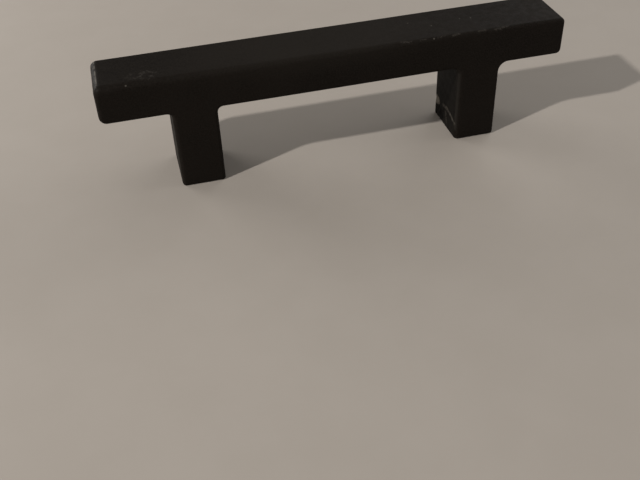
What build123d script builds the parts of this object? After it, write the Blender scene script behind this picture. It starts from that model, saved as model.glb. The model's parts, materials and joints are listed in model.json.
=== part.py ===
"""Bridge pull handle: one casting, a rectangular bar carried on two posts.

The handle stands on the soles of its posts, as it would on the face of a drawer.
X runs along the bar, Y from front to back and Z from the soles up to the bar.
The origin is on the plane of the soles, midway between the two screw holes.
All sizes are in millimetres.
"""
from build123d import *
from math import radians, sqrt, tan
import os

# Bar
BAR_LENGTH = 155.0
BAR_DEPTH = 20.6             # front to back; the posts are flush with it
BAR_HEIGHT = 12.9            # underside to top face
LEFT_END_RADIUS = 2.4        # corners of the front outline at the left end
RIGHT_END_RADIUS = 1.7       # corners of the front outline at the right end

# Posts
SCREW_CENTRES = 96.0
POST_WIDTH = 14.5            # along the bar
FINGER_CLEARANCE = 27.4      # soles to the bar's underside
SOLE_BEVEL = 0.35            # round the sole of each post

# Fillets where the posts run into the bar's underside
LEFT_OUTER_FILLET = 1.7
LEFT_INNER_FILLET = 2.0
RIGHT_INNER_FILLET = 2.2
RIGHT_OUTER_FILLET = 3.2

# Rounding of the front and back edges
OUTER_EDGE_RADIUS = 1.6      # all round the outside of the handle
INNER_EDGE_RADIUS = 1.3      # all round the finger gap

# Blind screw holes, drilled for an M4 thread
TAPPING_DIAMETER = 3.3
HOLE_DEPTH = 12.0            # at full diameter
MOUTH_BEVEL = 0.3            # keeps the first thread off the sole
DRILL_POINT_ANGLE = 118.0

# Damage low on the right post, on the face towards the finger gap
DENT_WIDTH = 9.6
DENT_DEPTH = 0.7
DENT_FROM_BACK = 6.0         # middle of the dent, from the back of the post
DENT_FROM_SOLE = 2.4         # middle of the dent, above the sole
CHIP_WIDTH = 7.4             # knocked out of the post's back corner
CHIP_DEPTH = 1.7             # from the line where the two faces would meet
CHIP_FROM_SOLE = 6.8         # middle of the chip, above the sole

SAME = 1e-6                  # heights closer than this are one height


def front_outline():
    """Front view of the handle: 12 corners, of which only the four at the soles are sharp."""
    end = BAR_LENGTH / 2
    inner = SCREW_CENTRES / 2 - POST_WIDTH / 2
    outer = SCREW_CENTRES / 2 + POST_WIDTH / 2
    top = FINGER_CLEARANCE + BAR_HEIGHT
    corners = [
        (-outer, 0, 0),
        (-outer, FINGER_CLEARANCE, LEFT_OUTER_FILLET),
        (-end, FINGER_CLEARANCE, LEFT_END_RADIUS),
        (-end, top, LEFT_END_RADIUS),
        (end, top, RIGHT_END_RADIUS),
        (end, FINGER_CLEARANCE, RIGHT_END_RADIUS),
        (outer, FINGER_CLEARANCE, RIGHT_OUTER_FILLET),
        (outer, 0, 0),
        (inner, 0, 0),
        (inner, FINGER_CLEARANCE, RIGHT_INNER_FILLET),
        (-inner, FINGER_CLEARANCE, LEFT_INNER_FILLET),
        (-inner, 0, 0),
    ]
    points = [(x, 0, z) for x, z, radius in corners]
    radii = [radius for x, z, radius in corners]
    return make_face(FilletPolyline(*points, radius=radii, close=True))


def rims(body):
    """Edges of the front and back faces, without those at the soles."""
    faces = body.faces().filter_by(Axis.Y)
    return faces.edges().filter_by(lambda edge: edge.center().Z > SAME)


def borders_gap(edge):
    """True for an edge that runs round the finger gap."""
    middle = edge.center()
    return abs(middle.X) < SCREW_CENTRES / 2 and middle.Z < FINGER_CLEARANCE + SAME


def casting():
    """The outline carried through from front to back, with rounded edges and bevelled soles."""
    body = extrude(front_outline(), amount=BAR_DEPTH / 2, dir=(0, 1, 0), both=True)
    outside = rims(body).filter_by(lambda edge: not borders_gap(edge))
    body = fillet(outside, radius=OUTER_EDGE_RADIUS)
    body = fillet(rims(body).filter_by(borders_gap), radius=INNER_EDGE_RADIUS)
    soles = body.faces().filter_by(Axis.Z).group_by(Axis.Z)[0]
    return chamfer(soles.edges(), length=SOLE_BEVEL)


def screw_hole():
    """Cutter for a screw hole at the origin: bevelled mouth, bore and the point that the drill leaves."""
    bore = TAPPING_DIAMETER / 2
    drill_point = bore / tan(radians(DRILL_POINT_ANGLE / 2))
    profile = Polyline(
        (0, 0, -MOUTH_BEVEL),
        (bore + 2 * MOUTH_BEVEL, 0, -MOUTH_BEVEL),
        (bore, 0, MOUTH_BEVEL),
        (bore, 0, HOLE_DEPTH),
        (0, 0, HOLE_DEPTH + drill_point),
        close=True,
    )
    return revolve(make_face(profile), Axis.Z)


def scoop_radius(width, depth):
    """Radius of the ball that leaves a hollow of this width and depth."""
    return (width**2 / 4 + depth**2) / (2 * depth)


def dent():
    """Cutter for the round hollow in the right post's inner face."""
    radius = scoop_radius(DENT_WIDTH, DENT_DEPTH)
    face = SCREW_CENTRES / 2 - POST_WIDTH / 2
    centre = (face + DENT_DEPTH - radius, BAR_DEPTH / 2 - DENT_FROM_BACK, DENT_FROM_SOLE)
    return Pos(*centre) * Sphere(radius)


def chip():
    """Cutter for the piece knocked out of the right post's back corner."""
    radius = scoop_radius(CHIP_WIDTH, CHIP_DEPTH)
    face = SCREW_CENTRES / 2 - POST_WIDTH / 2
    stand_off = (radius - CHIP_DEPTH) / sqrt(2)
    return Pos(face - stand_off, BAR_DEPTH / 2 + stand_off, CHIP_FROM_SOLE) * Sphere(radius)


def pull_handle():
    """The whole handle."""
    body = casting()
    for x in (-SCREW_CENTRES / 2, SCREW_CENTRES / 2):
        body -= Pos(x, 0, 0) * screw_hole()
    return body - dent() - chip()


os.makedirs("parts", exist_ok=True)
export_step(pull_handle(), "parts/pull_handle.step")
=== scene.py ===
"""Looks of the bridge pull handle: a black textured coating on one casting, worn and chipped in places, with
some light and shade painted into its colour.

Lengths are in metres. X runs along the bar, Y from front to back and Z up from the soles of the posts.
"""
import json
from math import cos, pi, radians, sin

import bmesh
import bpy
from mathutils import Matrix, Vector, noise


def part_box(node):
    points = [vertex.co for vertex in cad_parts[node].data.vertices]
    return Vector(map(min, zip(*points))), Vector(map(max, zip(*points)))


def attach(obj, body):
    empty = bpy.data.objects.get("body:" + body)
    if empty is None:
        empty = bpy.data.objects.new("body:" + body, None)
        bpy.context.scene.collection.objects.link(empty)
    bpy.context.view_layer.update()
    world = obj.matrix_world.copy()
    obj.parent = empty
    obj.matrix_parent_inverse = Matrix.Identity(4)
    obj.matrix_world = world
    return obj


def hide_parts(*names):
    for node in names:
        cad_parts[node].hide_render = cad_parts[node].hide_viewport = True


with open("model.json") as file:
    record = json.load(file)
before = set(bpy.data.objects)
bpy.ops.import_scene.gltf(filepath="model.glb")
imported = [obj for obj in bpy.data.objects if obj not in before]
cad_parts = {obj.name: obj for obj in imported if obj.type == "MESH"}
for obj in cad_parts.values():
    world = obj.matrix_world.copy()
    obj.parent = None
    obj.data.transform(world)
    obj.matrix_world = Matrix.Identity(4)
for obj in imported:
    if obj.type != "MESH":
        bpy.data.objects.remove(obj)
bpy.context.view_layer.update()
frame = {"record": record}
scene = bpy.context.scene

MM = 0.001
HANDLE = "pull_handle"
LOW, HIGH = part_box(HANDLE)
MOUNTS = {mount["name"]: mount for mount in frame["record"]["mounts"]}
LEFT_SCREW = MOUNTS["left_screw_hole"]["pos_m"][0]
RIGHT_SCREW = MOUNTS["right_screw_hole"]["pos_m"][0]
TAPPING_RADIUS = MOUNTS["left_screw_hole"]["dims"]["r_mm"] * MM

# Casting: the front view's sizes that the frame's box doesn't give
POST_WIDTH = 14.5 * MM
HALF_POST = POST_WIDTH / 2
UNDERSIDE = 27.4 * MM                # of the bar, above the soles
LEFT_END_RADIUS = 2.4 * MM
RIGHT_END_RADIUS = 1.7 * MM
LEFT_OUTER_FILLET = 1.7 * MM
LEFT_INNER_FILLET = 2.0 * MM
RIGHT_INNER_FILLET = 2.2 * MM
RIGHT_OUTER_FILLET = 3.2 * MM
CORNER_STEPS = 7                     # facets round a corner of the front view
GAP_FACE = RIGHT_SCREW - HALF_POST   # the right post's face towards the finger gap

# Rounding of the front and back rims
LEFT_RIM_RADIUS = 2.3 * MM           # along the top, rubbed soft towards the left end
RIGHT_RIM_RADIUS = 1.15 * MM
RIM_FADE = 1.15                      # the right radius starts at 1 / 1.15 of the length
RIM_WANDER = 0.12                    # unevenness of that change, as a share of the length
RIM_WANDER_WAVES = (70, 9, 9)        # a metre, along X, Y and Z
LOWER_RIM_RADIUS = 1.5 * MM          # the most that it is below the top
LOWER_RIM_GROWTH = 0.4               # for the height gained round the corners of the ends
GAP_RIM_RADIUS = 1.3 * MM            # up to the middle of the finger gap
GAP_RIM_GROWTH = 0.45                # share gained from there to the right screw
SOLE_RIM_RADIUS = 0.8 * MM
RIM_STEPS = 6
RIM_ANGLE = radians(60)              # edges sharper than this are rims
CELL = 2.6 * MM                      # spacing of the cuts across the flat faces
CELL_MARGIN = 3.6 * MM               # kept free of cuts beside the rounded corners
SAME_HEIGHT = 0.001 * MM             # points closer than this are one
SAME_PLACE = 0.0001 * MM             # for the cuts

# Unevenness of the cast faces
WAVINESS = 0.03 * MM
STEADY_SHARE = 0.6                   # sinks every face by as much, to stay inside the nominal size
WAVE_SHARE = 0.4
LONG_WAVES = 85                      # a metre
SHORT_WAVES = 230
SHORT_WAVE_HEIGHT = 0.5              # of a long wave's
TRUE_HEIGHT = 1.5 * MM               # the posts are flat and true up to here
CASTING_CREASE = radians(32)         # sharper edges stay sharp in the shading

# Damage
ROCK_DETAIL = 5                      # subdivisions of the ball
ROCK_LAYERS = (1.0, 2.0, 3)          # the lumps' smoothness, step between their sizes, and number of sizes

# Screw threads
THREAD_RADIUS = 2.0 * MM             # at the roots
THREAD_PITCH = 0.7 * MM
THREAD_DEPTH = 12.0 * MM             # above the sole
THREAD_TURNS = int((THREAD_DEPTH - 2 * THREAD_PITCH) / THREAD_PITCH)
THREAD_START = 0.5                   # pitches above the sole
THREAD_BITE = 0.02 * MM              # how far a tooth's root is set into the wall
TOOTH_RISES = (0.06, 0.44, 0.56, 0.94)   # heights of a tooth's corners, in pitches
THREAD_CREASE = radians(30)
DRILL_POINT = 1.2 * MM
ROUND_STEPS = 32                     # facets round a screw hole

# Camera: stands in front of the handle's left half, above it, and looks down to the right.
CAMERA_PLACE = Vector((-0.0652, -0.2491, 0.1649))
CAMERA_HEADING = radians(13.15)      # from straight back towards the right end
CAMERA_DIP = radians(39.0)           # below the horizon
CAMERA_ROLL = radians(2.42)          # clockwise
CAMERA_LENS = 48.32
NEAREST, FARTHEST = 0.01, 20.0       # distances that the camera sees

# Light
LAMP_WHITE = (1.0, 0.97, 0.93)
WINDOW_WHITE = (1.0, 0.985, 0.96)
WALL_WHITE = (1.0, 0.98, 0.95)
FILL_WHITE = (1.0, 0.96, 0.90)
ROOM_STRENGTH = 0.128
FLOOR_HALF = 2.0

# Coating: grain sizes, and colours from the base up
FINE_GRAIN = 0.45 * MM
MEDIUM_GRAIN = 2.2 * MM
BROAD_GRAIN = 24 * MM
RAGGED_GRAIN = 1.3 * MM              # of the broken metal
HOLLOW_BLACK = (0.0076, 0.0060, 0.0048, 1)
GRAIN_BLACK = (0.0168, 0.0138, 0.0115, 1)
PATCH_BLACK = (0.0172, 0.0138, 0.0112, 1)
PATCH_SHARE = 0.35
WEAR = (                             # kind of wear, painted light or painted shade, its strength and its colour, laid on in this order
    # painted light: a lighter pool over the bar's top
    ("handled", 0.45, (0.024, 0.0205, 0.017, 1)),
    # painted shade: darker on the right post's face in the finger gap, under the bar
    ("unworn", 0.75, (0.0035, 0.003, 0.0025, 1)),
    ("rubbed", 0.30, (0.022, 0.019, 0.016, 1)),
    # painted highlight: a pale line up the right post's front rim
    ("post_rub", 0.6, (0.026, 0.023, 0.020, 1)),
    # painted reflection: two pale lines on the left end's rounded top corner
    ("end_rub", 0.85, (0.120, 0.108, 0.092, 1)),
    ("scuffed", 0.8, (0.056, 0.050, 0.043, 1)),
    # bare specks on the front edge, and painted glints on the top
    ("flecked", 1.0, (0.095, 0.087, 0.074, 1)),
    ("torn", 0.75, (0.075, 0.067, 0.056, 1)),
    ("bare", 0.85, (0.160, 0.142, 0.118, 1)),
)
SMOOTHEST, ROUGHEST = 0.50, 0.62
EDGE_POLISH = 0.06                   # taken off the roughness
WEAR_DULLING = 0.15                  # added to it
COAT_SPECULAR = 0.05

# Marks in the coating, with painted highlights and reflections among them, in millimetres
FRONT_MARKS = ((20.5, 3.2), (26.8, 1.4), (32.6, 2.6), (37.8, 2.4), (46.8, 2.2), (52.5, 4.5))  # place, length
# painted highlights: glints on the bar's top
PAINTED_TOP_GLINTS = ((26.6, 2.8, 0.3), (33.4, -1.4, 0.32), (44.1, 0.6, 0.26), (47.8, 0.1, 0.32))     # x, y, radius
EDGE_FLECKS = ((-67.5, 0.5, 0.5), (31.2, 0.4, 0.36))     # x, distance below the top, radius
DENT_RIM = ((1.6, 7.4), (-1.6, 8.0), (-4.5, 7.6), (-6.6, 6.8), (-9.1, 5.8))     # y, z on the right post
DENT_SCRATCH = ((-0.9, 5.8), (-2.0, 2.6))
# painted reflection lines on the left end's rounded top corner
END_REFLECTIONS = ((24, 0.3), (70, 0.35))   # degrees round the left end's corner from the top, width
END_REFLECTION_SPAN = (-7.5, 9.0)           # from front to back
# painted highlight on the right post's front rim
RIM_HIGHLIGHT_SPAN = (4, 25)              # from the sole up

# Other finishes
CUT_METAL = (0.30, 0.29, 0.28, 1)
STAINED_METAL = (0.12, 0.115, 0.11, 1)
TABLE_DARK = (0.440, 0.396, 0.352, 1)
TABLE_LIGHT = (0.452, 0.408, 0.364, 1)
TABLE_ROUGHNESS = 0.7


def mm(*sizes):
    """Millimetres as metres."""
    return tuple(size * MM for size in sizes)


def piece_from(shape, name):
    """Puts a finished bmesh into a new object that stands at the origin."""
    mesh = bpy.data.meshes.new(name)
    shape.to_mesh(mesh)
    shape.free()
    piece = bpy.data.objects.new(name, mesh)
    scene.collection.objects.link(piece)
    return piece


def front_corners():
    """Corners of the front view with the radius of each; a sole's corners are sharp."""
    return [
        (LEFT_SCREW - HALF_POST, LOW.z, 0),
        (LEFT_SCREW - HALF_POST, UNDERSIDE, LEFT_OUTER_FILLET),
        (LOW.x, UNDERSIDE, LEFT_END_RADIUS),
        (LOW.x, HIGH.z, LEFT_END_RADIUS),
        (HIGH.x, HIGH.z, RIGHT_END_RADIUS),
        (HIGH.x, UNDERSIDE, RIGHT_END_RADIUS),
        (RIGHT_SCREW + HALF_POST, UNDERSIDE, RIGHT_OUTER_FILLET),
        (RIGHT_SCREW + HALF_POST, LOW.z, 0),
        (GAP_FACE, LOW.z, 0),
        (GAP_FACE, UNDERSIDE, RIGHT_INNER_FILLET),
        (LEFT_SCREW + HALF_POST, UNDERSIDE, LEFT_INNER_FILLET),
        (LEFT_SCREW + HALF_POST, LOW.z, 0),
    ]


def add_profile(shape):
    """The front view as one face with rounded corners, on the front of the handle."""
    corners = front_corners()
    vertices = [shape.verts.new((x, LOW.y, z)) for x, z, radius in corners]
    shape.faces.new(vertices)
    for vertex, (x, z, radius) in zip(vertices, corners):
        if radius:
            bmesh.ops.bevel(shape, geom=[vertex], offset=radius, segments=CORNER_STEPS,
                            profile=0.5, affect="VERTICES", material=-1)


def cut_across(shape, place, normal):
    """Runs one cut round the whole body."""
    geometry = shape.verts[:] + shape.edges[:] + shape.faces[:]
    bmesh.ops.bisect_plane(shape, geom=geometry, dist=SAME_PLACE, plane_co=place, plane_no=normal)


def cuts_between(start, end):
    """Evenly spaced places from start to end, about a cell apart."""
    count = max(1, round((end - start) / CELL))
    return [start + (end - start) * i / count for i in range(count + 1)]


def cut_into_cells(shape):
    """Cuts the body lengthways, upright and across, clear of its rounded corners."""
    clear = CELL_MARGIN
    stretches = [
        (LOW.x + clear, LEFT_SCREW - HALF_POST - clear),
        (LEFT_SCREW - HALF_POST + clear, LEFT_SCREW + HALF_POST - clear),
        (LEFT_SCREW + HALF_POST + clear, RIGHT_SCREW - HALF_POST - clear),
        (RIGHT_SCREW - HALF_POST + clear, RIGHT_SCREW + HALF_POST - clear),
        (RIGHT_SCREW + HALF_POST + clear, HIGH.x - clear),
    ]
    for start, end in stretches:
        for x in cuts_between(start, end):
            cut_across(shape, (x, 0, 0), (1, 0, 0))
    for start, end in ((clear / 2, UNDERSIDE - clear), (UNDERSIDE + clear, HIGH.z - clear)):
        for z in cuts_between(start, end):
            cut_across(shape, (0, 0, z), (0, 0, 1))
    for y in cuts_between(LOW.y + clear, HIGH.y - clear):
        cut_across(shape, (0, y, 0), (0, 1, 0))


def rim_radius(middle):
    """Radius of the front or back rim at a place."""
    if middle.z < LOW.z + SAME_HEIGHT:
        return SOLE_RIM_RADIUS
    if abs(middle.x) < RIGHT_SCREW and middle.z < UNDERSIDE + SAME_HEIGHT:
        return GAP_RIM_RADIUS * (1 + GAP_RIM_GROWTH * max(0, middle.x / RIGHT_SCREW))
    along = (middle.x - LOW.x) / (HIGH.x - LOW.x)
    wander = RIM_WANDER * noise.noise(middle * Vector(RIM_WANDER_WAVES))
    share = min(max(along * RIM_FADE + wander, 0), 1)
    radius = LEFT_RIM_RADIUS + (RIGHT_RIM_RADIUS - LEFT_RIM_RADIUS) * share
    gained = max(0, middle.z - HIGH.z + LEFT_END_RADIUS)
    return min(radius, LOWER_RIM_RADIUS + LOWER_RIM_GROWTH * gained)


def weigh_rims(shape):
    """Marks the rims with bevel weights, as shares of the widest rounding."""
    weight = shape.edges.layers.float.new("bevel_weight_edge")
    for edge in shape.edges:
        if len(edge.link_faces) == 2 and edge.calc_face_angle(0) > RIM_ANGLE:
            middle = (edge.verts[0].co + edge.verts[1].co) / 2
            edge[weight] = rim_radius(middle) / LEFT_RIM_RADIUS


def body_blank():
    """The casting before its holes are drilled and its damage: profile, depth, cells and marked rims."""
    shape = bmesh.new()
    add_profile(shape)
    drawn = bmesh.ops.extrude_face_region(shape, geom=shape.faces[:])
    moved = [item for item in drawn["geom"] if isinstance(item, bmesh.types.BMVert)]
    bmesh.ops.translate(shape, verts=moved, vec=(0, HIGH.y - LOW.y, 0))
    bmesh.ops.recalc_face_normals(shape, faces=shape.faces[:])
    cut_into_cells(shape)
    weigh_rims(shape)
    return piece_from(shape, "casting")


def settle(piece):
    """Gives a piece the mesh that its modifiers make."""
    graph = bpy.context.evaluated_depsgraph_get()
    graph.update()
    mesh = bpy.data.meshes.new_from_object(piece.evaluated_get(graph))
    piece.modifiers.clear()
    piece.data = mesh


def round_rims(piece):
    """Rounds the marked rims, each by its own weight."""
    rounding = piece.modifiers.new("rims", "BEVEL")
    rounding.limit_method = "WEIGHT"
    rounding.width = LEFT_RIM_RADIUS
    rounding.segments = RIM_STEPS
    rounding.use_clamp_overlap = False
    settle(piece)


def smooth(piece, sharp_angle):
    """Smooth shading that breaks at edges sharper than the angle, with the flat faces kept flat."""
    piece.data.polygons.foreach_set("use_smooth", [True] * len(piece.data.polygons))
    piece.data.set_sharp_from_angle(angle=sharp_angle)
    weighted = piece.modifiers.new("flat_faces", "WEIGHTED_NORMAL")
    weighted.keep_sharp = True


def unevenness(piece):
    """The faces of a casting aren't dead flat: they rise and fall by a few hundredths of a millimetre."""
    middle = (LOW + HIGH) / 2
    for vertex in piece.data.vertices:
        if vertex.co.z > TRUE_HEIGHT:
            wave = noise.noise(vertex.co * LONG_WAVES)
            wave += SHORT_WAVE_HEIGHT * noise.noise(vertex.co * SHORT_WAVES)
            inward = (middle - vertex.co).normalized()
            vertex.co += inward * WAVINESS * (STEADY_SHARE + WAVE_SHARE * wave)


def carve(piece, cutter):
    """Takes a cutter out of a piece and deletes the cutter."""
    cut = piece.modifiers.new("cut", "BOOLEAN")
    cut.operation = "DIFFERENCE"
    cut.solver = "EXACT"
    cut.object = cutter
    settle(piece)
    bpy.data.objects.remove(cutter)


def rock(name, centre, half_sizes, roughness, lumps, seed):
    """A lumpy ball, in millimetres, that leaves a broken surface where it is carved out.

    Its centre counts from the right post's inner face, its back face and its sole.
    """
    shape = bmesh.new()
    bmesh.ops.create_icosphere(shape, subdivisions=ROCK_DETAIL, radius=1.0)
    middle = Vector(corner + step for corner, step in zip((GAP_FACE, HIGH.y, 0), mm(*centre)))
    for vertex in shape.verts:
        place = Vector(a * b for a, b in zip(vertex.co, mm(*half_sizes)))
        lump = noise.fractal(place / (lumps * MM) + Vector((seed, 0, 0)), *ROCK_LAYERS)
        vertex.co = middle + place + vertex.co * lump * (roughness * MM)
    return piece_from(shape, name)


def drill(place):
    """Cutter for a screw hole at its thread's roots, with the point that the drill leaves."""
    shape = bmesh.new()
    below = place + Vector((0, 0, -MM))
    outline = [
        below,
        below + Vector((THREAD_RADIUS, 0, 0)),
        place + Vector((THREAD_RADIUS, 0, THREAD_DEPTH)),
        place + Vector((0, 0, THREAD_DEPTH + DRILL_POINT)),
    ]
    vertices = [shape.verts.new(point) for point in outline]
    edges = [shape.edges.new(pair) for pair in zip(vertices, vertices[1:])]
    bmesh.ops.spin(shape, geom=vertices + edges, cent=place, axis=(0, 0, 1), angle=2 * pi,
                   steps=ROUND_STEPS, use_merge=True)
    bmesh.ops.remove_doubles(shape, verts=shape.verts[:], dist=SAME_HEIGHT)
    bmesh.ops.recalc_face_normals(shape, faces=shape.faces[:])
    return piece_from(shape, "drill")


def thread(name, place):
    """The thread cut in a screw hole: one tooth carried round and up."""
    shape = bmesh.new()
    start = place + Vector((0, 0, THREAD_START * THREAD_PITCH))
    root = THREAD_RADIUS + THREAD_BITE
    tooth = zip((root, TAPPING_RADIUS, TAPPING_RADIUS, root), TOOTH_RISES)
    vertices = [shape.verts.new(start + Vector((radius, 0, rise * THREAD_PITCH))) for radius, rise in tooth]
    face = shape.faces.new(vertices)
    bmesh.ops.spin(shape, geom=[face], cent=place, axis=(0, 0, 1), angle=2 * pi * THREAD_TURNS,
                   steps=THREAD_TURNS * ROUND_STEPS, dvec=(0, 0, THREAD_PITCH / ROUND_STEPS))
    bmesh.ops.recalc_face_normals(shape, faces=shape.faces[:])
    piece = piece_from(shape, name)
    smooth(piece, THREAD_CREASE)
    return piece


def damage():
    """What was knocked out low on the right post: a dent, a chip off the back corner and a scratch."""
    yield rock("dent", centre=(-0.75, -6.2, 2.6), half_sizes=(1.3, 5.6, 5.0),
               roughness=0.28, lumps=2.2, seed=3)
    yield rock("chip", centre=(-0.7, 0.8, 6.6), half_sizes=(2.0, 2.6, 3.6),
               roughness=0.42, lumps=1.6, seed=8)
    yield rock("scratch", centre=(-0.25, -12.2, 3.6), half_sizes=(0.5, 0.45, 2.3),
               roughness=0.08, lumps=0.8, seed=5)


def make_casting():
    """The handle's one piece: rounded, slightly uneven, damaged low on the right post, and drilled."""
    piece = body_blank()
    round_rims(piece)
    unevenness(piece)
    for cutter in damage():
        carve(piece, cutter)
    for screw in (LEFT_SCREW, RIGHT_SCREW):
        carve(piece, drill(Vector((screw, 0, LOW.z))))
    smooth(piece, CASTING_CREASE)
    piece.data.materials.append(black_coating())
    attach(piece, "root")
    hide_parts(HANDLE)


def make_threads():
    """The threads in the two screw holes, which show as cut metal."""
    finish = bare_thread()
    for name, screw in (("left_thread", LEFT_SCREW), ("right_thread", RIGHT_SCREW)):
        piece = thread(name, Vector((screw, 0, LOW.z)))
        piece.data.materials.append(finish)
        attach(piece, "root")


def make_floor():
    """The table that the handle stands on."""
    shape = bmesh.new()
    bmesh.ops.create_grid(shape, x_segments=1, y_segments=1, size=FLOOR_HALF)
    floor = piece_from(shape, "floor")
    floor.data.materials.append(pale_table())


def make_camera():
    """The view from in front of the handle, which the scene renders through."""
    camera = bpy.data.objects.new("camera", bpy.data.cameras.new("camera"))
    camera.data.lens = CAMERA_LENS
    camera.data.clip_start = NEAREST
    camera.data.clip_end = FARTHEST
    heading = Matrix.Rotation(-CAMERA_HEADING, 4, "Z")
    tilt = Matrix.Rotation(radians(90) - CAMERA_DIP, 4, "X")
    roll = Matrix.Rotation(-CAMERA_ROLL, 4, "Z")
    camera.matrix_world = Matrix.Translation(CAMERA_PLACE) @ heading @ tilt @ roll
    scene.collection.objects.link(camera)
    scene.camera = camera


def direction(azimuth, elevation):
    """Unit vector towards a light: azimuth from +X towards +Y, elevation above the floor."""
    flat = cos(elevation)
    return Vector((flat * cos(azimuth), flat * sin(azimuth), sin(elevation)))


def make_light(name, azimuth, elevation, distance, size, power, colour, shape="RECTANGLE"):
    """An area light that faces the handle, its width level; angles in degrees, size as (width, height)."""
    towards = direction(radians(azimuth), radians(elevation))
    light = bpy.data.objects.new(name, bpy.data.lights.new(name, "AREA"))
    light.data.shape = shape
    light.data.size, light.data.size_y = size
    light.data.energy = power
    light.data.color = colour
    light.location = towards * distance
    light.rotation_euler = (-towards).to_track_quat("-Z", "Y").to_euler()
    scene.collection.objects.link(light)


def make_room():
    """The dim light that comes from all round."""
    world = bpy.data.worlds.new("room")
    world.use_nodes = True
    background = world.node_tree.nodes["Background"]
    background.inputs["Color"].default_value = (*LAMP_WHITE, 1.0)
    background.inputs["Strength"].default_value = ROOM_STRENGTH
    scene.world = world


def make_lights():
    """A small lamp on the left, a long window behind on the right, a lit wall, a weak fill and a dim room."""
    make_light("lamp", azimuth=202, elevation=39, distance=1.6, size=(0.055, 0.055), power=15.6,
               colour=LAMP_WHITE, shape="ELLIPSE")
    make_light("window", azimuth=20, elevation=33, distance=1.5, size=(2.2, 0.22), power=8.8,
               colour=WINDOW_WHITE)
    make_light("wall", azimuth=134, elevation=17, distance=0.7, size=(0.4, 0.2), power=1.65,
               colour=WALL_WHITE)
    make_light("fill", azimuth=-42, elevation=7, distance=0.9, size=(0.6, 0.12), power=0.65,
               colour=FILL_WHITE)
    make_room()


def new_material(name):
    """A node material, with its tree and its shader."""
    material = bpy.data.materials.new(name)
    material.use_nodes = True
    return material, material.node_tree, material.node_tree.nodes["Principled BSDF"]


def wire(tree, value, socket):
    """Links a socket, or sets a plain value."""
    if isinstance(value, bpy.types.NodeSocket):
        tree.links.new(value, socket)
    else:
        socket.default_value = value


def math_node(tree, operation, *values):
    node = tree.nodes.new("ShaderNodeMath")
    node.operation = operation
    for value, socket in zip(values, node.inputs):
        wire(tree, value, socket)
    return node.outputs[0]


def multiply(tree, first, second):
    return math_node(tree, "MULTIPLY", first, second)


def vector_node(tree, operation, *values, result="Vector"):
    node = tree.nodes.new("ShaderNodeVectorMath")
    node.operation = operation
    for value, socket in zip(values, node.inputs):
        wire(tree, value, socket)
    return node.outputs[result]


def scale_vector(tree, vector, amount):
    node = tree.nodes.new("ShaderNodeVectorMath")
    node.operation = "SCALE"
    wire(tree, vector, node.inputs[0])
    wire(tree, amount, node.inputs["Scale"])
    return node.outputs[0]


def object_place(tree):
    return tree.nodes.new("ShaderNodeTexCoord").outputs["Object"]


def grain(tree, place, size, detail=2.0, rough=0.5, result="Fac"):
    """Noise from 0 to 1 whose patches are about this size."""
    node = tree.nodes.new("ShaderNodeTexNoise")
    wire(tree, place, node.inputs["Vector"])
    node.inputs["Scale"].default_value = 1 / size
    node.inputs["Detail"].default_value = detail
    node.inputs["Roughness"].default_value = rough
    return node.outputs[result]


def ramp(tree, value, low, high, to_low=0.0, to_high=1.0):
    """Smooth step of a value from low to high."""
    node = tree.nodes.new("ShaderNodeMapRange")
    node.interpolation_type = "SMOOTHSTEP"
    for name, number in (("From Min", low), ("From Max", high), ("To Min", to_low), ("To Max", to_high)):
        node.inputs[name].default_value = number
    wire(tree, value, node.inputs["Value"])
    return node.outputs["Result"]


def blend_colour(tree, share, first, second):
    node = tree.nodes.new("ShaderNodeMix")
    node.data_type = "RGBA"
    wire(tree, share, node.inputs["Factor"])
    wire(tree, first, node.inputs["A"])
    wire(tree, second, node.inputs["B"])
    return node.outputs["Result"]


def raise_bump(tree, height, strength, distance, below=None):
    """Bump from a height, on top of the bump below."""
    node = tree.nodes.new("ShaderNodeBump")
    node.inputs["Strength"].default_value = strength
    node.inputs["Distance"].default_value = distance
    wire(tree, height, node.inputs["Height"])
    if below:
        wire(tree, below, node.inputs["Normal"])
    return node.outputs["Normal"]


def most(tree, masks):
    """The strongest of several masks."""
    result = masks[0]
    for mask in masks[1:]:
        result = math_node(tree, "MAXIMUM", result, mask)
    return result


def spot(tree, place, centre, half_sizes, soft=0.5):
    """Mask that is 1 in the middle of an oval patch and 0 outside it."""
    offset = vector_node(tree, "SUBTRACT", place, centre)
    scaled = vector_node(tree, "DIVIDE", offset, half_sizes)
    return ramp(tree, vector_node(tree, "LENGTH", scaled, result="Value"), 1.0, 1.0 - soft)


def streak(tree, place, start, end, width, core=0.3):
    """Mask of a thin straight scratch from start to end, full over the core's share of its width."""
    run = Vector(end) - Vector(start)
    offset = vector_node(tree, "SUBTRACT", place, start)
    along = vector_node(tree, "DOT_PRODUCT", offset, run / run.length_squared, result="Value")
    held = math_node(tree, "MINIMUM", math_node(tree, "MAXIMUM", along, 0.0), 1.0)
    gap = vector_node(tree, "DISTANCE", offset, scale_vector(tree, run, held), result="Value")
    return ramp(tree, gap, width, width * core)


def rounded_edge(tree):
    """Mask of the rounded edges: where the surface faces along none of the main axes."""
    facing = tree.nodes.new("ShaderNodeTexCoord").outputs["Normal"]
    parts = tree.nodes.new("ShaderNodeSeparateXYZ")
    wire(tree, vector_node(tree, "ABSOLUTE", facing), parts.inputs[0])
    squarest = most(tree, [parts.outputs[axis] for axis in "XYZ"])
    return ramp(tree, squarest, low=0.97, high=0.80)


def wobbly(tree, place, size, amount):
    """A place shifted to and fro, so that a mark drawn on it isn't straight."""
    sway = vector_node(tree, "SUBTRACT", grain(tree, place, size, result="Color"), (0.5, 0.5, 0.5))
    return vector_node(tree, "ADD", place, scale_vector(tree, sway, amount))


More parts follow.
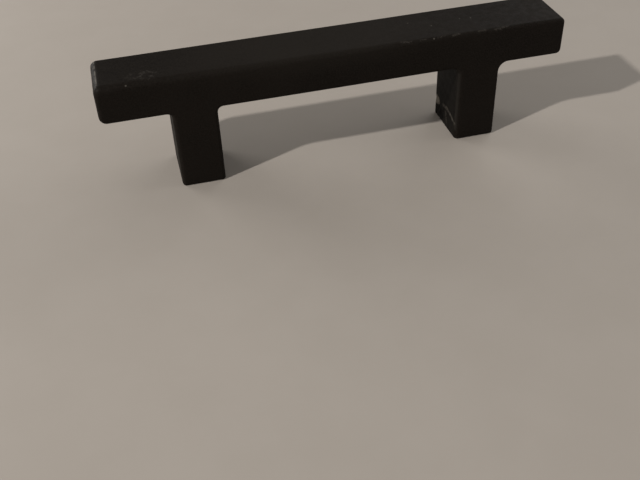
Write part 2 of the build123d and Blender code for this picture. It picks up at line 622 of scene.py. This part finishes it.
def scuffs(tree, place):
    """Pale rubs: a broken smudge on top near the left end, and short marks along the front edge."""
    bent = wobbly(tree, place, size=2.5 * MM, amount=1.6 * MM)
    smudge_place = (-60.5 * MM, LOW.y + 4.6 * MM, HIGH.z)
    smudge = spot(tree, bent, smudge_place, half_sizes=mm(8.5, 4.2, 2), soft=0.8)
    broken = ramp(tree, grain(tree, place, 1.7 * MM, detail=4.0, rough=0.7), low=0.50, high=0.62)
    marks = [multiply(tree, smudge, broken)]
    for x, length in FRONT_MARKS:
        start = (x * MM, LOW.y + 0.5 * MM, HIGH.z - 0.25 * MM)
        end = ((x + length) * MM, LOW.y + 0.7 * MM, HIGH.z - 0.2 * MM)
        marks.append(streak(tree, bent, start, end, width=0.5 * MM))
    return most(tree, marks)


def end_reflection_lines(tree, place):
    """Two painted reflections: pale lines across the rounded top corner of the left end."""
    front, back = mm(*END_REFLECTION_SPAN)
    lines = []
    for angle, width in END_REFLECTIONS:
        x = LOW.x + LEFT_END_RADIUS * (1 - sin(radians(angle)))
        z = HIGH.z - LEFT_END_RADIUS * (1 - cos(radians(angle)))
        lines.append(streak(tree, place, (x, front, z), (x, back, z), width * MM))
    return most(tree, lines)


def rim_highlight_line(tree, place):
    """A painted highlight: a pale line up the right post's front rim, beside the finger gap."""
    x = GAP_FACE + 0.3 * MM
    y = LOW.y + 0.8 * MM
    low, high = mm(*RIM_HIGHLIGHT_SPAN)
    return streak(tree, place, (x, y, low), (x, y, high), width=0.9 * MM)


def pale_specks_and_glints(tree, place):
    """Small pale specks: painted glints on the bar's top, and bare specks in the coating on its front edge.
    """
    front = LOW.y + 0.4 * MM
    marks = [((x * MM, y * MM, HIGH.z), radius) for x, y, radius in PAINTED_TOP_GLINTS]
    marks += [((x * MM, front, HIGH.z - drop * MM), radius) for x, drop, radius in EDGE_FLECKS]
    return most(tree, [spot(tree, place, centre, mm(radius, radius, radius)) for centre, radius in marks])


def torn_lines(tree, place, ragged):
    """The lighter, broken rim of the dent, and the scratch beside it."""
    rim = [(GAP_FACE, *mm(y, z)) for y, z in DENT_RIM]
    scratch = [(GAP_FACE, *mm(y, z)) for y, z in DENT_SCRATCH]
    lines = [streak(tree, place, start, end, width=0.9 * MM) for start, end in zip(rim, rim[1:])]
    lines.append(streak(tree, place, *scratch, width=0.8 * MM))
    return multiply(tree, most(tree, lines), ramp(tree, ragged, low=0.32, high=0.6))


def bare_patch(tree, place, ragged):
    """The pale metal where the back corner was knocked off."""
    centre = (GAP_FACE, HIGH.y - 2.6 * MM, 6.6 * MM)
    patch = spot(tree, place, centre, half_sizes=mm(3.0, 4.2, 3.4), soft=0.75)
    return ramp(tree, multiply(tree, patch, ragged), low=0.22, high=0.42)


def wear_masks(tree, place, fine, medium, edge):
    """Masks for painted light on the bar's top, painted shade in the finger gap, rubbed edges, a painted
    highlight on the post's rim, a painted reflection on the left end, scuffs, bare specks with painted
    glints, tears and the broken-off patch.
    """
    ragged = grain(tree, place, RAGGED_GRAIN, detail=4.0, rough=0.7)
    # middle of the painted light on the bar's top
    bar_top = (-6 * MM, 0, HIGH.z)
    # middle of the painted shade in the finger gap
    post_face = (GAP_FACE, 0, 12 * MM)
    return {
        # painted light: lighter over the bar's top and the upper part of its front
        "handled": spot(tree, place, bar_top, half_sizes=mm(62, 24, 9), soft=0.7),
        # painted shade: darker on the right post's face under the bar
        "unworn": spot(tree, place, post_face, half_sizes=mm(1.6, 15, 24)),
        "rubbed": multiply(tree, edge, ramp(tree, medium, low=0.42, high=0.68)),
        # painted highlight on the right post's front rim
        "post_rub": rim_highlight_line(tree, place),
        # painted reflection on the left end's rounded top corner
        "end_rub": multiply(tree, end_reflection_lines(tree, place), ramp(tree, medium, low=0.34, high=0.6)),
        "scuffed": multiply(tree, scuffs(tree, place), ramp(tree, fine, low=0.34, high=0.62)),
        # bare specks, and painted glints on the top
        "flecked": pale_specks_and_glints(tree, place),
        "torn": torn_lines(tree, place, ragged),
        "bare": bare_patch(tree, place, ragged),
    }


def coat_colour(tree, place, fine, masks):
    """Near-black with a fine texture, in broad patches, and the wear, painted light and painted shade laid
    over it.
    """
    broad = grain(tree, place, BROAD_GRAIN)
    patches = ramp(tree, broad, low=0.35, high=0.65, to_high=PATCH_SHARE)
    colour = blend_colour(tree, ramp(tree, fine, low=0.3, high=0.7), HOLLOW_BLACK, GRAIN_BLACK)
    colour = blend_colour(tree, patches, colour, PATCH_BLACK)
    for kind, strength, tint in WEAR:
        colour = blend_colour(tree, multiply(tree, masks[kind], strength), colour, tint)
    return colour


def coat_roughness(tree, medium, edge, masks):
    """Satin, smoother on the rounded edges and duller where it is worn."""
    rough = ramp(tree, medium, low=0.25, high=0.75, to_low=ROUGHEST, to_high=SMOOTHEST)
    rough = math_node(tree, "SUBTRACT", rough, multiply(tree, edge, EDGE_POLISH))
    worn = most(tree, [masks["bare"], masks["scuffed"]])
    return math_node(tree, "ADD", rough, multiply(tree, worn, WEAR_DULLING))


def coat_bump(tree, fine, medium, masks):
    """Fine texture over slight waves, and broken metal where the coating is gone."""
    broken = multiply(tree, most(tree, [masks["bare"], masks["torn"]]), fine)
    bump = raise_bump(tree, fine, strength=0.45, distance=0.05 * MM)
    bump = raise_bump(tree, medium, strength=0.25, distance=0.08 * MM, below=bump)
    return raise_bump(tree, broken, strength=0.5, distance=0.15 * MM, below=bump)


def black_coating():
    """Fine-grained satin black over cast metal, rubbed on its edges, specked, and broken off in one place,
    with light, shade, highlights, reflections and glints painted into it.
    """
    material, tree, surface = new_material("black_coating")
    place = object_place(tree)
    fine = grain(tree, place, FINE_GRAIN, detail=3.0, rough=0.6)
    medium = grain(tree, place, MEDIUM_GRAIN, detail=3.0, rough=0.55)
    edge = rounded_edge(tree)
    masks = wear_masks(tree, place, fine, medium, edge)
    wire(tree, coat_colour(tree, place, fine, masks), surface.inputs["Base Color"])
    wire(tree, coat_roughness(tree, medium, edge, masks), surface.inputs["Roughness"])
    wire(tree, coat_bump(tree, fine, medium, masks), surface.inputs["Normal"])
    surface.inputs["Specular IOR Level"].default_value = COAT_SPECULAR
    return material


def bare_thread():
    """Cut zinc, dulled, with dark stains."""
    material, tree, surface = new_material("bare_thread")
    place = object_place(tree)
    stain = grain(tree, place, 1.5 * MM, detail=3.0)
    rough = ramp(tree, stain, low=0.3, high=0.7, to_low=0.32, to_high=0.5)
    bump = raise_bump(tree, grain(tree, place, 0.2 * MM), strength=0.2, distance=0.02 * MM)
    colour = blend_colour(tree, ramp(tree, stain, low=0.35, high=0.65), CUT_METAL, STAINED_METAL)
    wire(tree, colour, surface.inputs["Base Color"])
    wire(tree, rough, surface.inputs["Roughness"])
    wire(tree, bump, surface.inputs["Normal"])
    surface.inputs["Metallic"].default_value = 1.0
    return material


def pale_table():
    """Plain pale table top with a faint mottle."""
    material, tree, surface = new_material("pale_table")
    place = object_place(tree)
    mottle = grain(tree, place, 22 * MM, detail=4.0, rough=0.6)
    bump = raise_bump(tree, grain(tree, place, 0.8 * MM), strength=0.06, distance=0.05 * MM)
    colour = blend_colour(tree, ramp(tree, mottle, low=0.3, high=0.7), TABLE_DARK, TABLE_LIGHT)
    wire(tree, colour, surface.inputs["Base Color"])
    wire(tree, bump, surface.inputs["Normal"])
    surface.inputs["Roughness"].default_value = TABLE_ROUGHNESS
    return material


make_camera()
make_floor()
make_lights()
make_casting()
make_threads()
scene.view_settings.view_transform = "Standard"
